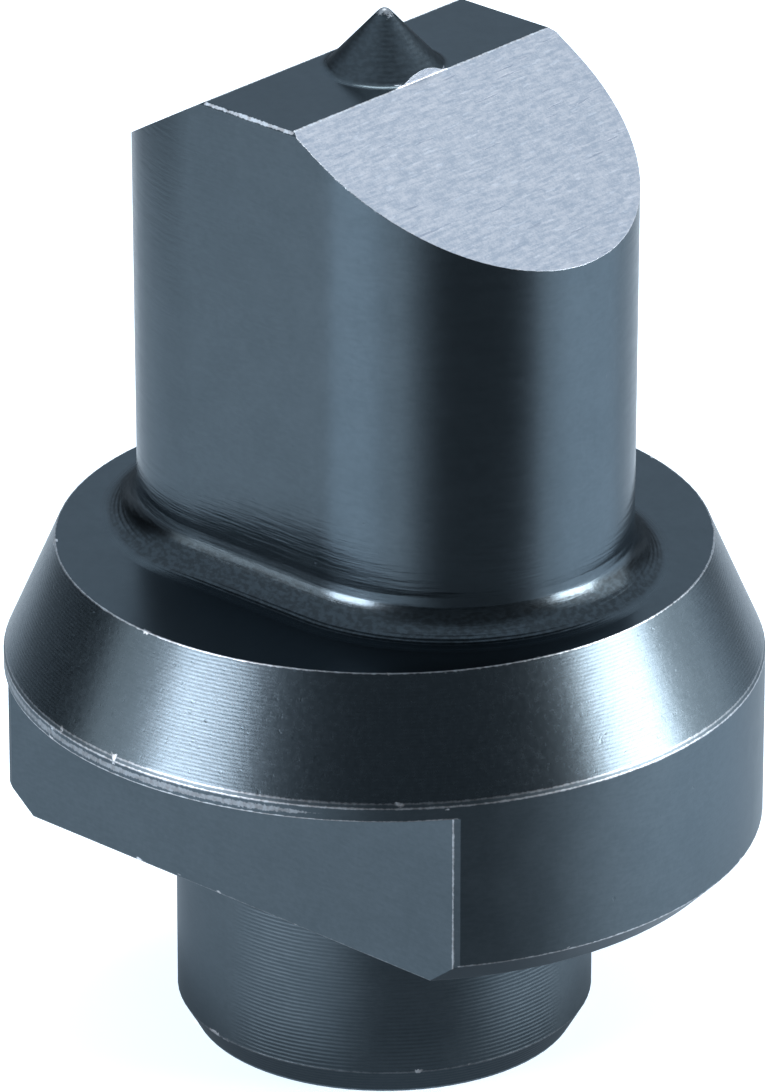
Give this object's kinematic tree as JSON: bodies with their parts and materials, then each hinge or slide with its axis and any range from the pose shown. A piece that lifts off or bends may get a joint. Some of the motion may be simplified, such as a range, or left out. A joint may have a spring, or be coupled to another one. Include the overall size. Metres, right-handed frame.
{
  "type": "oval punch",
  "caption": "One-piece slot punch: obround blade with two-way shear and centre point, coned clamping collar with a key flat, and a locating spigot.",
  "frame": {"origin": "centre of the spigot's end face, on the turning axis", "axes": "+Z along the turning axis towards the centre point, +X along the slot's length, -Y out of the key flat"},
  "size_m": [0.029, 0.029, 0.0413],
  "materials": {
    "blackened_tool_steel": "hardened tool steel with a semi-gloss blue-black oxide skin, ground bright on the shear faces"
  },
  "bodies": {
    "root": {"punch_body": "blackened_tool_steel"}
  },
  "joints": []
}
